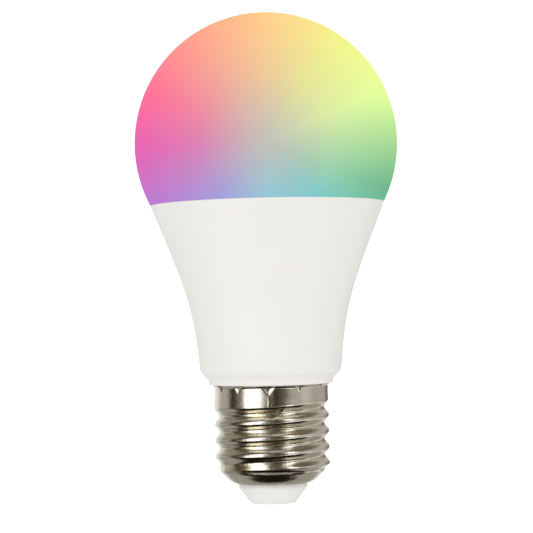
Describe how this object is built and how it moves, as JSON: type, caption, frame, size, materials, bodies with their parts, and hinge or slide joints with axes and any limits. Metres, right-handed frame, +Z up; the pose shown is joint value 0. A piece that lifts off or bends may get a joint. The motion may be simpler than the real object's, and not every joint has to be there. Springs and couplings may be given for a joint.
{
  "type": "smart light bulb",
  "caption": "Pear-shaped smart light bulb: a round opal diffuser on a flared white housing with a metal Edison screw cap; colour LEDs, a radio module and a driver board inside.",
  "frame": {"origin": "centre of the contact's lower face, at the very bottom of the screw cap", "axes": "+Z up the bulb's axis from the contact to the top of the dome; +X to the right and -Y towards the viewer of the front; the crimp over the neutral lead lies 3 degrees to the left of -Y"},
  "size_m": [0.06, 0.06, 0.112],
  "materials": {
    "opal_dome": "satin opal polycarbonate that glows evenly when lit",
    "housing_plastic": "smooth warm-white moulded plastic",
    "silicone": "translucent white silicone bead",
    "cup_aluminium": "drawn aluminium, satin",
    "led_board_mask": "white solder mask over a metal core",
    "white_led": "yellow phosphor in a white package",
    "colour_led": "white package with a clear round window over three chips",
    "zinc_steel": "zinc-plated steel",
    "black_moulding": "matt black moulding compound",
    "radio_board_mask": "dark green solder mask",
    "tinplate": "tin-plated steel",
    "gold_plate": "gold-plated copper alloy",
    "socket_plastic": "ivory moulded plastic",
    "driver_board_mask": "green solder mask on glass epoxy",
    "capacitor_sleeve": "shrunk plastic sleeve on an aluminium can",
    "wound_drum": "ferrite drum in a black sleeve",
    "ferrite": "dark grey sintered ferrite",
    "winding_tape": "yellow polyester tape over the winding",
    "resistor_coat": "green flameproof coat",
    "varistor_coat": "blue epoxy coat",
    "nickel_shell": "nickel-plated rolled sheet",
    "insulator_plastic": "off-white moulded plastic",
    "contact_metal": "nickel-plated brass",
    "lead_insulation": "red silicone insulation",
    "bare_copper": "bare copper wire"
  },
  "bodies": {
    "root": {"base_insulator": "insulator_plastic", "board_screw_1": "zinc_steel", "board_screw_2": "zinc_steel", "bridge_rectifier": "black_moulding", "colour_led_01": "colour_led", "colour_led_02": "colour_led", "colour_led_03": "colour_led", "colour_led_04": "colour_led", "colour_led_05": "colour_led", "colour_led_06": "colour_led", "contact_pin": "contact_metal", "diffuser_dome": "opal_dome", "dome_adhesive": "silicone", "driver_board": "driver_board_mask", "filter_inductor": "wound_drum", "fusible_resistor": "resistor_coat", "heat_sink_cup": "cup_aluminium", "housing": "housing_plastic", "input_capacitor": "capacitor_sleeve", "led_board": "led_board_mask", "led_driver_chip": "black_moulding", "link_header": "black_moulding", "link_pin_1": "gold_plate", "link_pin_2": "gold_plate", "link_pin_3": "gold_plate", "link_socket": "socket_plastic", "live_lead": "lead_insulation", "neutral_lead": "bare_copper", "output_capacitor": "capacitor_sleeve", "power_switch_chip": "black_moulding", "radio_aerial": "gold_plate", "radio_board": "radio_board_mask", "radio_chip": "black_moulding", "radio_shield": "tinplate", "rectifier_diode": "black_moulding", "screw_shell": "nickel_shell", "transformer_coil": "winding_tape", "transformer_core": "ferrite", "varistor": "varistor_coat", "white_led_01": "white_led", "white_led_02": "white_led", "white_led_03": "white_led", "white_led_04": "white_led", "white_led_05": "white_led", "white_led_06": "white_led", "white_led_07": "white_led", "white_led_08": "white_led", "white_led_09": "white_led", "white_led_10": "white_led", "white_led_11": "white_led", "white_led_12": "white_led"}
  },
  "joints": []
}
